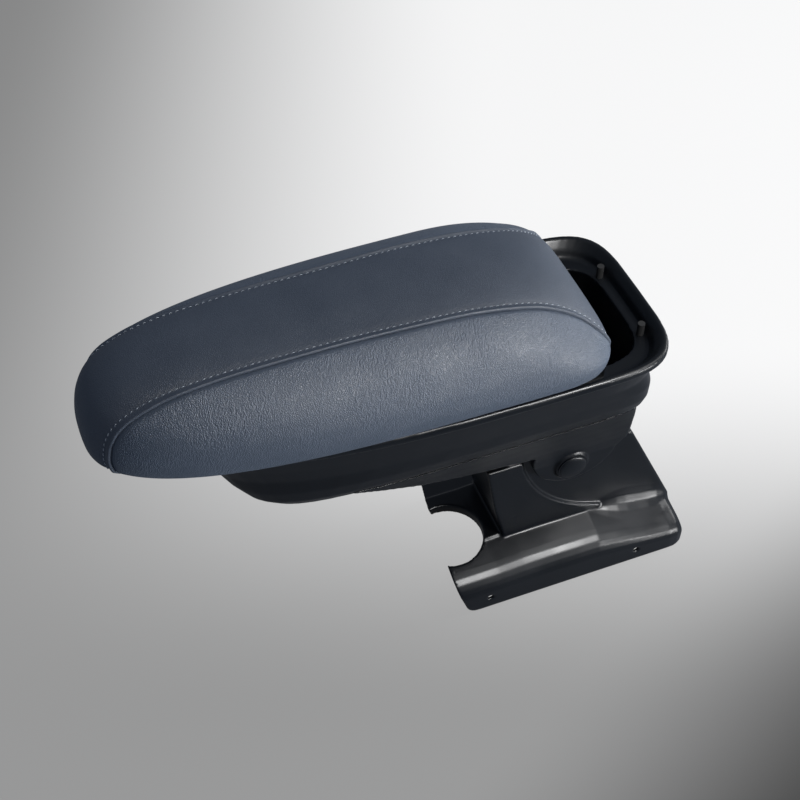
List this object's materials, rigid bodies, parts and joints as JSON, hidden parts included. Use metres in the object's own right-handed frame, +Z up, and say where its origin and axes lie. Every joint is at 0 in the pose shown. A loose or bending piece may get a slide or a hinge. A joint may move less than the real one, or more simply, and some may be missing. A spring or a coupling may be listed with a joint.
{
  "type": "car centre armrest",
  "caption": "Pedestal car armrest: a padded leatherette lid slides along a deep storage box, which tilts on a neck moulded over a console foot with a half-round front notch.",
  "frame": {"origin": "middle of the foot's footprint, level with its lower edge", "axes": "+X towards the rear of the car, +Y to the car's right, +Z up"},
  "size_m": [0.414, 0.1408, 0.2933],
  "materials": {
    "grained_black": "fine moulded grain, low sheen",
    "tray_black": "fine moulded grain, smooth rolled rim",
    "carrier_black": "plain moulded",
    "rail_black": "smooth, low friction",
    "runner_polymer": "natural self-lubricating polymer",
    "washer_polymer": "natural self-lubricating polymer",
    "mat_felt": "short flocked pile",
    "black_rubber": "soft moulded",
    "zinc_steel": "zinc plated",
    "screw_steel": "zinc plated",
    "spring_steel": "dark oiled spring steel",
    "pad_foam": "open-cell seat foam",
    "leatherette_centre": "slate blue-grey grained leatherette",
    "leatherette_side": "slate blue-grey grained leatherette with fine creases"
  },
  "bodies": {
    "base": {"base_shell": "grained_black", "neck_bracket": "zinc_steel", "shell_screws": "screw_steel", "pivot_axle": "zinc_steel", "axle_clips": "spring_steel", "friction_washers": "washer_polymer", "rest_buffer": "black_rubber"},
    "box": {"housing": "grained_black", "hinge_housing": "grained_black", "tray": "tray_black", "tray_mat": "mat_felt", "tray_screws": "screw_steel", "pivot_bush_left": "washer_polymer", "pivot_bush_right": "washer_polymer", "pivot_cap_left": "grained_black", "pivot_cap_right": "grained_black", "slide_rail_left": "rail_black", "slide_rail_right": "rail_black", "rail_screws": "screw_steel", "lid_buffers": "black_rubber"},
    "lid": {"lid_plate": "carrier_black", "foam_pad": "pad_foam", "cover_centre": "leatherette_centre", "cover_side_left": "leatherette_side", "cover_side_right": "leatherette_side", "slide_runner_left": "runner_polymer", "slide_runner_right": "runner_polymer", "runner_screws": "screw_steel"}
  },
  "joints": [
    {"name": "tilt", "type": "hinge", "parent": "base", "child": "box", "pos_m": [-0.003, 0, 0.112], "axis": [0, 1, 0], "range_deg": [0, 60]},
    {"name": "lid_slide", "type": "slide", "parent": "box", "child": "lid", "axis": [1, 0, 0], "range_m": [0, 0.046]}
  ]
}
